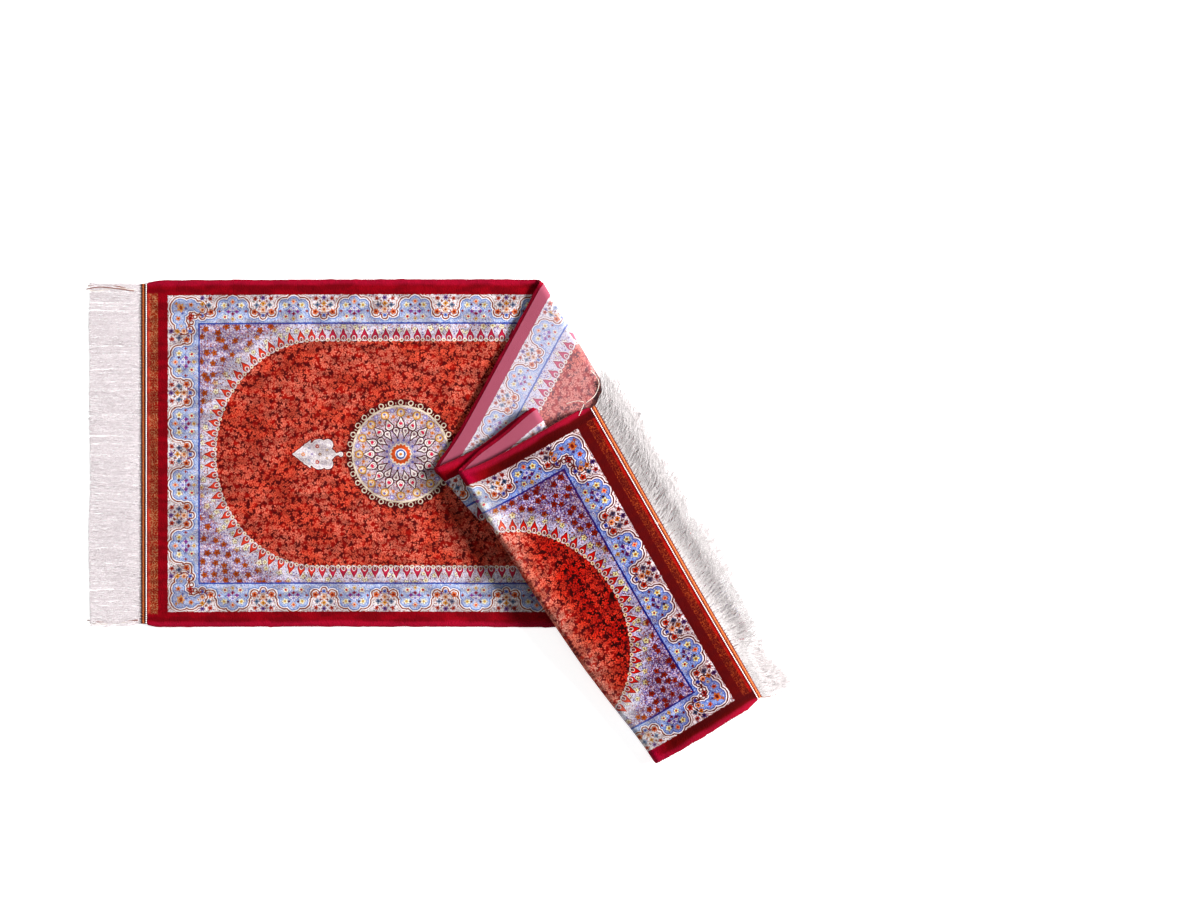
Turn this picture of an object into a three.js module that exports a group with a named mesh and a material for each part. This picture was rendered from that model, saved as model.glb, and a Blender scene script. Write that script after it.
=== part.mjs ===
// A fringed pile runner rug, folded four times and lying on a flat surface. Millimetres, +Z up.
// On the unfolded rug, s runs along its length from the left end and t across it from the upper long edge.
// The first layer lies pile up with s along +X and t along -Y, and each fold turns the rug over.
import * as THREE from "three";

// The unfolded rug
const LENGTH = 1440;
const WIDTH = 500;
const THICK = 6;
const LIP = 3; // the pile leans this far out past the long edges of the woven back

// Ends: a sewn braid, then a fringe
const SEAM = 0.3;
const BRAID_WIDTH = 9.2;
const BRAID_THICK = 3;
const FRINGE_THICK = 2;
const LEFT_FRINGE = 77;
const RIGHT_FRINGE = 50;
const TUFTS = 20; // in each fringe
const TUFT_ROOT = 17;
const TUFT_TIP = 9;
const SPINE = 4;

// The stack
const PITCH = 8.5; // from the middle of one layer to the middle of the next
const EDGE_MARGIN = 8; // an upper layer stays level this far past the edge of what carries it
const CLOTH_DROP = 90; // and then comes down over this distance
const FRINGE_DROP = 24; // which is shorter for the limp fringe
const FRINGE_SETTLE = 25; // the fringe leaves the cloth's level over this much of its length
const FRINGE_CLEAR = 2; // between the fringe and the cloth that it lies on
const PUFF_REACH = 45; // a fold's puff dies away over this distance from it

// A row for each fold, in the order in which the rug meets them.
// at: where the middle of the fold crosses t = 0. slant: how far s moves on along the fold for each mm of t.
// puff: how far the fold springs open beyond the pitch.
const FOLDS = [
  { at: 580, slant: 0.594, puff: 3 },
  { at: 905, slant: 0.294, puff: 2 },
  { at: 1079, slant: 0.068, puff: 2 },
  { at: 1225, slant: 0.06, puff: 3 },
];

// How the lying cloth strays from straight edges and creases: a soft push of x, y around a place s, t
const SWAYS = [
  { s: 400, t: 0, sReach: 330, tReach: 170, x: 0, y: 2 },
  { s: 300, t: 500, sReach: 450, tReach: 170, x: 0, y: 3 },
  { s: 905, t: 0, sReach: 50, tReach: 60, x: -2, y: 9 },
  { s: 1079, t: 0, sReach: 90, tReach: 60, x: -7, y: 18 },
  { s: 1195, t: 0, sReach: 50, tReach: 60, x: -2, y: 11 },
  { s: 1225, t: 500, sReach: 140, tReach: 120, x: 9, y: 10 },
  { s: 1440, t: 500, sReach: 130, tReach: 150, x: -3, y: 8 },
];

// Where a layer swells up from the one below it. over: the lower layer, counted from 0
const SWELLS = [
  { over: 0, x: 560, y: -170, reach: 85, rise: 3 },
  { over: 1, x: 640, y: -420, reach: 90, rise: 2 },
  { over: 3, x: 690, y: -360, reach: 100, rise: 2.5 },
  { over: 3, x: 560, y: -310, reach: 60, rise: 1.5 },
];

// How finely the faces divide the cloth
const ROWS = 20;
const FOLD_STEPS = 8;
const LAYER_STEPS = [13, 10, 6, 6, 9];
const TUFT_STEPS = 10;
const LEFT_TUFT_STEPS = 3;
const TRACE_STEP = 1; // along a line of the right fringe
const SMALL = 0.05; // for the slopes of the cloth

const bell = (ratio) => Math.exp(-ratio * ratio);
const mix = (a, b, share) => a + (b - a) * share;
const fall = (share) => (share >= 1 ? 0 : 0.5 * (1 + Math.cos(Math.PI * share)));

// A point of the row t that lies u past the middle of a fold, measured square to the fold
function pastFold(fold, t, u) {
  return new THREE.Vector2(fold.at + fold.slant * t + u * fold.stretch, t);
}

function mirrorAbout(point, way) {
  const turn = [2 * way.x * way.x - 1, 2 * way.x * way.y, 2 * way.y * way.y - 1];
  const x = point.x - turn[0] * point.x - turn[1] * point.y;
  const y = point.y - turn[1] * point.x - turn[2] * point.y;
  return new THREE.Matrix3().set(turn[0], turn[1], x, turn[1], turn[2], y, 0, 0, 1);
}

// Works out each layer's place in plan by mirroring the one before it in the outer line of their fold.
// The bend is a half circle, so it takes (pi - 2) radii more cloth than it covers in plan.
function foldInPlan() {
  const layers = [{ toPlan: new THREE.Matrix3().set(1, 0, 0, 0, -1, 0, 0, 0, 1) }];
  for (const fold of FOLDS) {
    const below = layers[layers.length - 1];
    fold.radius = (PITCH + fold.puff) / 2;
    fold.stretch = Math.hypot(1, fold.slant);
    fold.normal = new THREE.Vector2(1, -fold.slant).divideScalar(fold.stretch);
    fold.edge = (Math.PI / 2 - 1) * fold.radius;
    fold.start = pastFold(fold, 0, -fold.edge).applyMatrix3(below.toPlan);
    const end = pastFold(fold, WIDTH, -fold.edge).applyMatrix3(below.toPlan);
    fold.way = end.sub(fold.start).normalize();
    const spare = fold.normal.clone().multiplyScalar(-2 * fold.edge);
    const takeUp = new THREE.Matrix3().set(1, 0, spare.x, 0, 1, spare.y, 0, 0, 1);
    const toPlan = mirrorAbout(fold.start, fold.way).multiply(below.toPlan).multiply(takeUp);
    layers.push({ toPlan });
  }
  layers.forEach((layer, k) => {
    const begin = (t) => (k > 0 ? pastFold(FOLDS[k - 1], t, FOLDS[k - 1].edge) : new THREE.Vector2(0, t));
    const end = (t) => (k < FOLDS.length ? pastFold(FOLDS[k], t, -FOLDS[k].edge) : new THREE.Vector2(LENGTH, t));
    layer.outline = [begin(0), end(0), end(WIDTH), begin(WIDTH)].map((p) => p.applyMatrix3(layer.toPlan));
  });
  return layers;
}
const layers = foldInPlan();
const top = layers.length - 1;

function distanceOutside(outline, p) {
  let nearest = Infinity;
  let lefts = 0;
  outline.forEach((a, i) => {
    const side = outline[(i + 1) % outline.length].clone().sub(a);
    const toPoint = p.clone().sub(a);
    const share = THREE.MathUtils.clamp(toPoint.dot(side) / side.lengthSq(), 0, 1);
    nearest = Math.min(nearest, toPoint.distanceTo(side.clone().multiplyScalar(share)));
    lefts += side.cross(toPoint) > 0 ? 1 : 0;
  });
  return lefts === 0 || lefts === outline.length ? 0 : nearest;
}

// 1 over a layer, 0 well away from it
function cover(k, p, margin, drop) {
  return fall(Math.max(0, distanceOutside(layers[k].outline, p) - margin) / drop);
}

function lift(k, p) {
  const fold = FOLDS[k];
  const fromFold = Math.abs(fold.way.cross(p.clone().sub(fold.start)));
  let rise = PITCH + fold.puff * bell(fromFold / PUFF_REACH);
  for (const swell of SWELLS) {
    if (swell.over === k) {
      rise += swell.rise * bell(Math.hypot(p.x - swell.x, p.y - swell.y) / swell.reach);
    }
  }
  return rise;
}

// Height of the middle of layer k
function layerHeight(k, p) {
  let z = THICK / 2;
  for (let j = 0; j < k; j++) {
    z += lift(j, p) * cover(j, p, EDGE_MARGIN, CLOTH_DROP);
  }
  return z;
}

function sway(s, t) {
  const push = new THREE.Vector2();
  for (const row of SWAYS) {
    const share = bell((s - row.s) / row.sReach) * bell((t - row.t) / row.tReach);
    push.x += row.x * share;
    push.y += row.y * share;
  }
  return push;
}

// The middle of the folded cloth at s, t
function middle(s, t) {
  const flat = new THREE.Vector2(s, t);
  const push = sway(s, t);
  let layer = 0;
  for (const fold of FOLDS) {
    const u = (s - fold.at - fold.slant * t) / fold.stretch;
    const half = (Math.PI / 2) * fold.radius;
    if (Math.abs(u) < half) {
      const angle = u / fold.radius + Math.PI / 2;
      const moved = fold.radius * Math.sin(angle) - half - u;
      const p = flat.addScaledVector(fold.normal, moved).applyMatrix3(layers[layer].toPlan).add(push);
      const share = (1 - Math.cos(angle)) / 2;
      return new THREE.Vector3(p.x, p.y, mix(layerHeight(layer, p), layerHeight(layer + 1, p), share));
    }
    if (u > 0) {
      layer += 1;
    }
  }
  const p = flat.applyMatrix3(layers[layer].toPlan).add(push);
  return new THREE.Vector3(p.x, p.y, layerHeight(layer, p));
}

// Square to the cloth, on its pile side
function pileWay(s, t) {
  const across = middle(s, t + SMALL).sub(middle(s, t - SMALL));
  const along = middle(s + SMALL, t).sub(middle(s - SMALL, t));
  return across.cross(along).normalize();
}

function onSurface(p) {
  return new THREE.Vector3(p.x, p.y, Math.max(0, p.z));
}

// A closed solid over the filled cells of a grid. corner(i, j, side) places a grid point on the upper side, 1,
// or the lower side, -1. Seen from the upper side, columns run to the left of rows.
function gridSolid(columns, rows, filled, corner) {
  const positions = [];
  const faces = [];
  const numbers = new Map();
  const vertex = (i, j, side) => {
    const key = `${i},${j},${side}`;
    if (!numbers.has(key)) {
      numbers.set(key, positions.length / 3);
      positions.push(...corner(i, j, side).toArray());
    }
    return numbers.get(key);
  };
  const quad = (a, b, c, d) => faces.push(a, b, c, a, c, d);
  const isFilled = (i, j) => i >= 0 && j >= 0 && i < columns && j < rows && filled(i, j);
  for (let i = 0; i < columns; i++) {
    for (let j = 0; j < rows; j++) {
      if (!isFilled(i, j)) {
        continue;
      }
      const ring = [[i, j], [i, j + 1], [i + 1, j + 1], [i + 1, j]];
      const neighbours = [[i - 1, j], [i, j + 1], [i + 1, j], [i, j - 1]];
      quad(...ring.map(([a, b]) => vertex(a, b, 1)));
      quad(...ring.map(([a, b]) => vertex(a, b, -1)).reverse());
      ring.forEach((from, n) => {
        const to = ring[(n + 1) % 4];
        if (!isFilled(...neighbours[n])) {
          quad(vertex(...to, 1), vertex(...from, 1), vertex(...from, -1), vertex(...to, -1));
        }
      });
    }
  }
  const geometry = new THREE.BufferGeometry();
  geometry.setAttribute("position", new THREE.Float32BufferAttribute(positions, 3));
  geometry.setIndex(faces);
  geometry.computeVertexNormals();
  return geometry;
}

// The lines across the rug that its faces follow: fine through each fold, evenly spread between folds
function crossLines() {
  const lines = [() => 0];
  const spread = (from, to, steps) => {
    for (let n = 1; n <= steps; n++) {
      lines.push((t) => mix(from(t), to(t), n / steps));
    }
  };
  FOLDS.forEach((fold, k) => {
    const half = (Math.PI / 2) * fold.radius;
    const before = (t) => pastFold(fold, t, -half).x;
    const after = (t) => pastFold(fold, t, half).x;
    spread(lines[lines.length - 1], before, LAYER_STEPS[k]);
    spread(before, after, FOLD_STEPS);
  });
  spread(lines[lines.length - 1], () => LENGTH, LAYER_STEPS[top]);
  return lines;
}

function rugPile() {
  const lines = crossLines();
  const corner = (i, j, side) => {
    const lean = side > 0 ? LIP * ((j === ROWS) - (j === 0)) : 0;
    const t = (WIDTH * j) / ROWS + lean;
    const s = lines[i](t);
    return onSurface(middle(s, t).addScaledVector(pileWay(s, t), (side * THICK) / 2));
  };
  return gridSolid(lines.length - 1, ROWS, () => true, corner);
}

// The braid is level with the back of the rug
function braid(from) {
  const corner = (i, j, side) => {
    const t = (WIDTH * j) / ROWS;
    const s = from + i * BRAID_WIDTH;
    const aboveBack = BRAID_THICK / 2 - THICK / 2 + (side * BRAID_THICK) / 2;
    return onSurface(middle(s, t).addScaledVector(pileWay(s, t), aboveBack));
  };
  return gridSolid(1, ROWS, () => true, corner);
}

// Half the width of a tuft, by its share of the way out
const tuftHalf = (share) => mix(TUFT_ROOT, TUFT_TIP, share) / 2;
const fringeRoot = SEAM + BRAID_WIDTH + SEAM;

// Height of the middle of the right fringe at p, which is out past the end of the cloth. It comes down from the
// cloth's level to what it rests on.
function fringeHeight(p, out) {
  const level = layerHeight(top, p) - THICK / 2;
  const onFold = layerHeight(1, p) + THICK / 2 + FRINGE_CLEAR;
  const resting = onFold * cover(1, p, 0, FRINGE_DROP);
  const settled = Math.max(0, out - fringeRoot) / FRINGE_SETTLE;
  return mix(resting, level, fall(settled)) + FRINGE_THICK / 2;
}

// Follows one line of the right fringe from the end of the cloth, keeping its length as it comes down
function rightFringe(out, t, side) {
  const steps = Math.ceil((fringeRoot + out) / TRACE_STEP);
  const step = (fringeRoot + out) / steps;
  const start = middle(LENGTH, t);
  const ahead = middle(LENGTH + 1, t).sub(start);
  const way = new THREE.Vector2(ahead.x, ahead.y).normalize();
  const p = new THREE.Vector2(start.x, start.y);
  let slope = 0;
  for (let n = 0; n < steps; n++) {
    const next = p.clone().addScaledVector(way, step);
    slope = (fringeHeight(next, (n + 1) * step) - fringeHeight(p, n * step)) / step;
    p.addScaledVector(way, step / Math.hypot(1, slope));
  }
  const raised = (side * FRINGE_THICK) / 2 / Math.hypot(1, slope);
  const z = fringeHeight(p, steps * step) + raised;
  p.addScaledVector(way, -slope * raised);
  return onSurface(new THREE.Vector3(p.x, p.y, z));
}

function leftFringe(out, t, side) {
  const p = middle(-fringeRoot - out, t);
  return new THREE.Vector3(p.x, p.y, (FRINGE_THICK * (1 + side)) / 2);
}

// One comb: a spine along the braid, and tufts that narrow outwards. end is 1 at the right and -1 at the left
function fringe(end, reach, steps, place) {
  const columns = steps + 1;
  const outward = (i) => (end > 0 ? i : columns - i);
  const filled = (i, j) => outward(end > 0 ? i : i + 1) === 0 || j % 2 === 0;
  const corner = (i, j, side) => {
    const n = outward(i);
    const out = n === 0 ? 0 : mix(SPINE, reach, (n - 1) / steps);
    const tuft = Math.floor(j / 2);
    const edge = j % 2 === 0 ? -1 : 1;
    const t = (WIDTH * (tuft + 0.5)) / TUFTS + edge * tuftHalf(out / reach);
    return place(out, t, side);
  };
  return gridSolid(columns, 2 * TUFTS - 1, filled, corner);
}

const rug = new THREE.Group();
function add(name, geometry, colour, roughness) {
  const mesh = new THREE.Mesh(geometry, new THREE.MeshStandardMaterial({ color: colour, roughness, metalness: 0 }));
  mesh.name = name;
  rug.add(mesh);
}

const PILE_RED = 0xa8122a;
const BRAID_RED = 0x8c2a1c;
const FRINGE_CREAM = 0xe6dce0;
add("rug_pile", rugPile(), PILE_RED, 0.85);
add("braid_left", braid(-SEAM - BRAID_WIDTH), BRAID_RED, 0.9);
add("braid_right", braid(LENGTH + SEAM), BRAID_RED, 0.9);
add("fringe_left", fringe(-1, LEFT_FRINGE, LEFT_TUFT_STEPS, leftFringe), FRINGE_CREAM, 0.9);
add("fringe_right", fringe(1, RIGHT_FRINGE, TUFT_STEPS, rightFringe), FRINGE_CREAM, 0.9);

// The origin is the middle of the underside of the whole rug's box
const box = new THREE.Box3().setFromObject(rug);
rug.position.set(-(box.min.x + box.max.x) / 2, -(box.min.y + box.max.y) / 2, 0);

export default rug;
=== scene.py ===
# A fringed pile runner rug, folded four times and lying on a pale floor.
# Shapes are worked out in millimetres on the unfolded rug: s runs along its length from the left end, and t
# across it from the upper long edge. The top of the pile lies 3 mm above the middle of the cloth, and the
# woven back 3 mm below it.
import math

import bpy
import numpy as np
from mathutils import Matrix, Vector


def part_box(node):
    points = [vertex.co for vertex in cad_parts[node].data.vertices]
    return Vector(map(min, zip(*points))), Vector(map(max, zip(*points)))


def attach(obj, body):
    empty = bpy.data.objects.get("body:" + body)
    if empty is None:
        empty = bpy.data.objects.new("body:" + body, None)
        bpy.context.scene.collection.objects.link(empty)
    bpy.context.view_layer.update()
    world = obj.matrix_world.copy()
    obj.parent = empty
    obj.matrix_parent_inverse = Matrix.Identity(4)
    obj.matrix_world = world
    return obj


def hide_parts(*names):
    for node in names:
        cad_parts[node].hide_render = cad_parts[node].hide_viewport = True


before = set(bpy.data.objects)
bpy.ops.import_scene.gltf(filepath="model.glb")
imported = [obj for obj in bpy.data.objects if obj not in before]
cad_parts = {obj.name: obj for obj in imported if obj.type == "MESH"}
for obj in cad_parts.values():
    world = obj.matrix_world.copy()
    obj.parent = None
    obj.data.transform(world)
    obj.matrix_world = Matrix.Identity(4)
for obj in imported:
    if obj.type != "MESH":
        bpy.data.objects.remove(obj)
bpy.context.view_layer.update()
MM = 0.001
rng = np.random.default_rng(7)


def table(columns, *rows):
    """Rows of values, each under the name of its column."""
    return [dict(zip(columns.split(), row)) for row in rows]


# The unfolded rug and its fold lines, as in the model
LENGTH = 1440
WIDTH = 500
THICK = 6
PITCH = 8.5
EDGE_MARGIN = 8
CLOTH_DROP = 90
PUFF_REACH = 45
FOLDS = table(
    "at slant puff",
    (580, 0.594, 3),
    (905, 0.294, 2),
    (1079, 0.068, 2),
    (1225, 0.06, 3),
)
SWAYS = table(
    "s t s_reach t_reach x y",
    (400, 0, 330, 170, 0, 2),
    (300, 500, 450, 170, 0, 3),
    (905, 0, 50, 60, -2, 9),
    (1079, 0, 90, 60, -7, 18),
    (1195, 0, 50, 60, -2, 11),
    (1225, 500, 140, 120, 9, 10),
    (1440, 500, 130, 150, -3, 8),
)
SWELLS = table(
    "over x y reach rise",
    (0, 560, -170, 85, 3),
    (1, 640, -420, 90, 2),
    (3, 690, -360, 100, 2.5),
    (3, 560, -310, 60, 1.5),
)

# The ends
BRAID_START = 0.3
BRAID_WIDTH = 9.2
FRINGE_ROOT = BRAID_START + BRAID_WIDTH + 0.3
FRINGE_THICK = 2
FRINGE_DROP = 24
FRINGE_SETTLE = 25
FRINGE_CLEAR = 2


def bell(ratio):
    return np.exp(-ratio * ratio)


def mix(a, b, share):
    return a + (b - a) * share


def fall(share):
    return 0.5 * (1 + np.cos(np.pi * np.clip(share, 0, 1)))


def apply_map(plan_map, s, t):
    x = plan_map[0, 0] * s + plan_map[0, 1] * t + plan_map[0, 2]
    y = plan_map[1, 0] * s + plan_map[1, 1] * t + plan_map[1, 2]
    return x, y


def mirror_about(point, way):
    turn = 2 * np.outer(way, way) - np.eye(2)
    mirror = np.eye(3)
    mirror[:2, :2] = turn
    mirror[:2, 2] = point - turn @ point
    return mirror


def past_fold(fold, t, u):
    """A point of the row t that lies u past the middle of a fold, measured square to the fold."""
    return fold["at"] + fold["slant"] * t + u * fold["stretch"], t


def fold_in_plan():
    """Each layer's place in plan, by mirroring the one before it in the outer line of their fold."""
    layers = [{"to_plan": np.diag([1.0, -1.0, 1.0])}]
    for fold in FOLDS:
        below = layers[-1]["to_plan"]
        fold["radius"] = (PITCH + fold["puff"]) / 2
        fold["half"] = math.pi / 2 * fold["radius"]
        fold["stretch"] = math.hypot(1, fold["slant"])
        fold["normal"] = np.array([1, -fold["slant"]]) / fold["stretch"]
        fold["edge"] = (math.pi / 2 - 1) * fold["radius"]
        fold["start"] = np.array(apply_map(below, *past_fold(fold, 0, -fold["edge"])))
        end = np.array(apply_map(below, *past_fold(fold, WIDTH, -fold["edge"])))
        fold["way"] = (end - fold["start"]) / np.linalg.norm(end - fold["start"])
        take_up = np.eye(3)
        take_up[:2, 2] = fold["normal"] * -2 * fold["edge"]
        layers.append({"to_plan": mirror_about(fold["start"], fold["way"]) @ below @ take_up})
    for k, layer in enumerate(layers):
        corners = []
        for t, ahead in ((0, False), (0, True), (WIDTH, True), (WIDTH, False)):
            if ahead:
                place = past_fold(FOLDS[k], t, -FOLDS[k]["edge"]) if k < len(FOLDS) else (LENGTH, t)
            else:
                place = past_fold(FOLDS[k - 1], t, FOLDS[k - 1]["edge"]) if k > 0 else (0, t)
            corners.append(apply_map(layer["to_plan"], *place))
        layer["outline"] = np.array(corners)
    return layers


layers = fold_in_plan()
top_layer = len(layers) - 1


def distance_outside(outline, x, y):
    """How far a point lies outside a convex outline, and 0 inside it."""
    nearest = np.full(np.shape(x), np.inf)
    lefts = np.zeros(np.shape(x), int)
    for a, b in zip(outline, np.roll(outline, -1, axis=0)):
        side = b - a
        dx = x - a[0]
        dy = y - a[1]
        share = np.clip((dx * side[0] + dy * side[1]) / (side @ side), 0, 1)
        nearest = np.minimum(nearest, np.hypot(dx - side[0] * share, dy - side[1] * share))
        lefts += side[0] * dy - side[1] * dx > 0
    within = (lefts == 0) | (lefts == len(outline))
    return np.where(within, 0, nearest)


def cover(k, x, y, margin, drop):
    """1 over a layer, 0 well away from it."""
    return fall(np.maximum(0, distance_outside(layers[k]["outline"], x, y) - margin) / drop)


def lift(k, x, y):
    fold = FOLDS[k]
    from_fold = fold["way"][0] * (y - fold["start"][1]) - fold["way"][1] * (x - fold["start"][0])
    rise = PITCH + fold["puff"] * bell(from_fold / PUFF_REACH)
    for swell in SWELLS:
        if swell["over"] == k:
            rise = rise + swell["rise"] * bell(np.hypot(x - swell["x"], y - swell["y"]) / swell["reach"])
    return rise


def layer_height(k, x, y):
    """Height of the middle of layer k."""
    z = np.full(np.shape(x), THICK / 2)
    for j in range(k):
        z = z + lift(j, x, y) * cover(j, x, y, EDGE_MARGIN, CLOTH_DROP)
    return z


def sway(s, t):
    x = np.zeros(np.shape(s))
    y = np.zeros(np.shape(s))
    for row in SWAYS:
        share = bell((s - row["s"]) / row["s_reach"]) * bell((t - row["t"]) / row["t_reach"])
        x = x + row["x"] * share
        y = y + row["y"] * share
    return x, y


def middle(s, t):
    """The middle of the folded cloth at s, t, as an array with x, y, z in its last axis."""
    s, t = np.broadcast_arrays(np.asarray(s, float), np.asarray(t, float))
    push_x, push_y = sway(s, t)
    place = np.zeros(s.shape + (3,))
    layer = np.zeros(s.shape, int)
    bending = np.zeros(s.shape, bool)

    def settle(rows, x, y, z):
        place[rows] = np.stack([x, y, z], axis=-1)

    for k, fold in enumerate(FOLDS):
        u = (s - fold["at"] - fold["slant"] * t) / fold["stretch"]
        rows = np.abs(u) < fold["half"]
        bending |= rows
        angle = u[rows] / fold["radius"] + np.pi / 2
        moved = fold["radius"] * np.sin(angle) - fold["half"] - u[rows]
        x, y = apply_map(
            layers[k]["to_plan"], s[rows] + fold["normal"][0] * moved, t[rows] + fold["normal"][1] * moved
        )
        x = x + push_x[rows]
        y = y + push_y[rows]
        share = (1 - np.cos(angle)) / 2
        settle(rows, x, y, mix(layer_height(k, x, y), layer_height(k + 1, x, y), share))
        layer += u > 0
    for k in range(len(layers)):
        rows = ~bending & (layer == k)
        x, y = apply_map(layers[k]["to_plan"], s[rows], t[rows])
        x = x + push_x[rows]
        y = y + push_y[rows]
        settle(rows, x, y, layer_height(k, x, y))
    return place


def pile_way(s, t):
    """Square to the cloth, on its pile side."""
    small = 0.05
    across = middle(s, t + small) - middle(s, t - small)
    along = middle(s + small, t) - middle(s - small, t)
    way = np.cross(across, along)
    return way / np.linalg.norm(way, axis=-1, keepdims=True)


def on_cloth(s, t, height):
    """A place above or below the middle of the cloth, and never under the floor."""
    place = middle(s, t) + pile_way(s, t) * np.asarray(height, float)[..., None]
    place[..., 2] = np.maximum(place[..., 2], 0)
    return place


def soft_noise(x, y, size, seed):
    """Smooth random heights from -1 to 1 that change over the given size."""
    lattice = np.random.default_rng(seed).uniform(-1, 1, (64, 64))
    x = np.asarray(x, float) / size
    y = np.asarray(y, float) / size
    column = np.floor(x).astype(int)
    row = np.floor(y).astype(int)
    fx = x - column
    fy = y - row
    fx = fx * fx * (3 - 2 * fx)
    fy = fy * fy * (3 - 2 * fy)
    a = mix(lattice[column % 64, row % 64], lattice[(column + 1) % 64, row % 64], fx)
    b = mix(lattice[column % 64, (row + 1) % 64], lattice[(column + 1) % 64, (row + 1) % 64], fx)
    return mix(a, b, fy)


# Where the plan lies in the frame: the left braid's inner upper corner is known in both
braid_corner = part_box("braid_left")[1]
SHIFT = np.array([braid_corner.x, braid_corner.y, 0]) / MM - middle(-BRAID_START, 0) * [1, 1, 0]


def to_frame(points):
    return (np.asarray(points) + SHIFT) * MM


# The photograph's view, from straight above. A row of its pixels is 1200 long.
FRAME_WIDTH = 1759
LENS = 85
SENSOR = 36
CORNER_PIXEL = (148, 284)
MIDDLE_PIXEL = (600, 450)
PIXEL = FRAME_WIDTH / 1200


def add_camera():
    data = bpy.data.cameras.new("camera")
    data.lens = LENS
    data.sensor_width = SENSOR
    data.clip_end = 100
    camera = bpy.data.objects.new("camera", data)
    across = (MIDDLE_PIXEL[0] - CORNER_PIXEL[0]) * PIXEL
    down = (MIDDLE_PIXEL[1] - CORNER_PIXEL[1]) * PIXEL
    camera.location = to_frame([across, -down, FRAME_WIDTH * LENS / SENSOR])
    bpy.context.scene.collection.objects.link(camera)
    bpy.context.scene.camera = camera


add_camera()


def mesh_object(name, points, faces, materials, face_slots=None):
    """A piece in the frame. Its quads are smooth and its end faces flat."""
    mesh = bpy.data.meshes.new(name)
    mesh.from_pydata(to_frame(points).tolist(), [], [list(face) for face in faces])
    for material in materials:
        mesh.materials.append(material)
    if face_slots is not None:
        mesh.polygons.foreach_set("material_index", np.asarray(face_slots, np.int32))
    mesh.polygons.foreach_set("use_smooth", [len(face) == 4 for face in faces])
    mesh.update()
    piece = bpy.data.objects.new(name, mesh)
    bpy.context.scene.collection.objects.link(piece)
    return piece


def walls_between(number):
    """Quads between neighbouring rings of point numbers. The last axis runs round a ring."""
    after = np.roll(number, -1, axis=-1)
    corners = [number[..., :-1, :], after[..., :-1, :], after[..., 1:, :], number[..., 1:, :]]
    return np.stack(corners, axis=-1).reshape(-1, 4)


def tubes(paths, radii, sides):
    """Points and faces of closed tubes along many paths at once. paths is tubes x points x 3."""
    paths = np.asarray(paths, float)
    radii = np.broadcast_to(radii, paths.shape[:2])
    ahead = np.gradient(paths, axis=1)
    ahead /= np.linalg.norm(ahead, axis=-1, keepdims=True)
    beside = np.cross(ahead, [0, 0, 1.0])
    beside /= np.maximum(np.linalg.norm(beside, axis=-1, keepdims=True), 1e-6)
    over = np.cross(beside, ahead)
    angles = 2 * np.pi * np.arange(sides) / sides
    spoke = beside[:, :, None] * np.cos(angles)[:, None] + over[:, :, None] * np.sin(angles)[:, None]
    points = paths[:, :, None] + spoke * radii[:, :, None, None]
    count, steps = paths.shape[:2]
    number = np.arange(count * steps * sides).reshape(count, steps, sides)
    caps = np.concatenate([number[:, 0, ::-1], number[:, -1]])
    points = points.reshape(-1, 3)
    points[:, 2] = np.maximum(points[:, 2], 0)
    return points, walls_between(number).tolist() + caps.tolist()


def joined(parts):
    """Joins several sets of points and faces into one."""
    points = []
    faces = []
    for part_points, part_faces in parts:
        start = sum(len(p) for p in points)
        points.append(np.asarray(part_points))
        faces.extend([n + start for n in face] for face in part_faces)
    return np.concatenate(points), faces


# The cloth
ROWS = 104
FOLD_STEPS = 14
LAYER_STEPS = [140, 70, 38, 34, 48]
# The rounded long edge, from the top of the pile to the back. out: past the edge of the woven back
EDGE = table(
    "out height",
    (1.6, 2.9),
    (3.6, 2.3),
    (4.8, 1.1),
    (5.0, -0.2),
    (3.6, -1.2),
    (1.4, -1.8),
    (0.3, -2.4),
)


def cross_lines():
    """Lines across the rug, each as its s at t = 0 and how far s moves on for each mm of t."""
    lines = [(0, 0)]

    def spread(start, end, steps):
        for n in range(1, steps + 1):
            lines.append((mix(start[0], end[0], n / steps), mix(start[1], end[1], n / steps)))

    for fold, steps in zip(FOLDS, LAYER_STEPS):
        reach = fold["half"] * fold["stretch"]
        before = (fold["at"] - reach, fold["slant"])
        after = (fold["at"] + reach, fold["slant"])
        spread(lines[-1], before, steps)
        spread(before, after, FOLD_STEPS)
    spread(lines[-1], (LENGTH, 0), LAYER_STEPS[-1])
    return np.array(lines)


def cloth_ring():
    """The closed section across the rug: places t, and heights over the middle of the cloth."""
    rows = WIDTH * np.arange(ROWS + 1) / ROWS
    out = np.array([row["out"] for row in EDGE])
    height = np.array([row["height"] for row in EDGE])
    half = np.full(ROWS + 1, THICK / 2)
    t = np.concatenate([rows, WIDTH + out, rows[::-1], -out[::-1]])
    h = np.concatenate([half, height, -half, height[::-1]])
    return t, h


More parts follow.
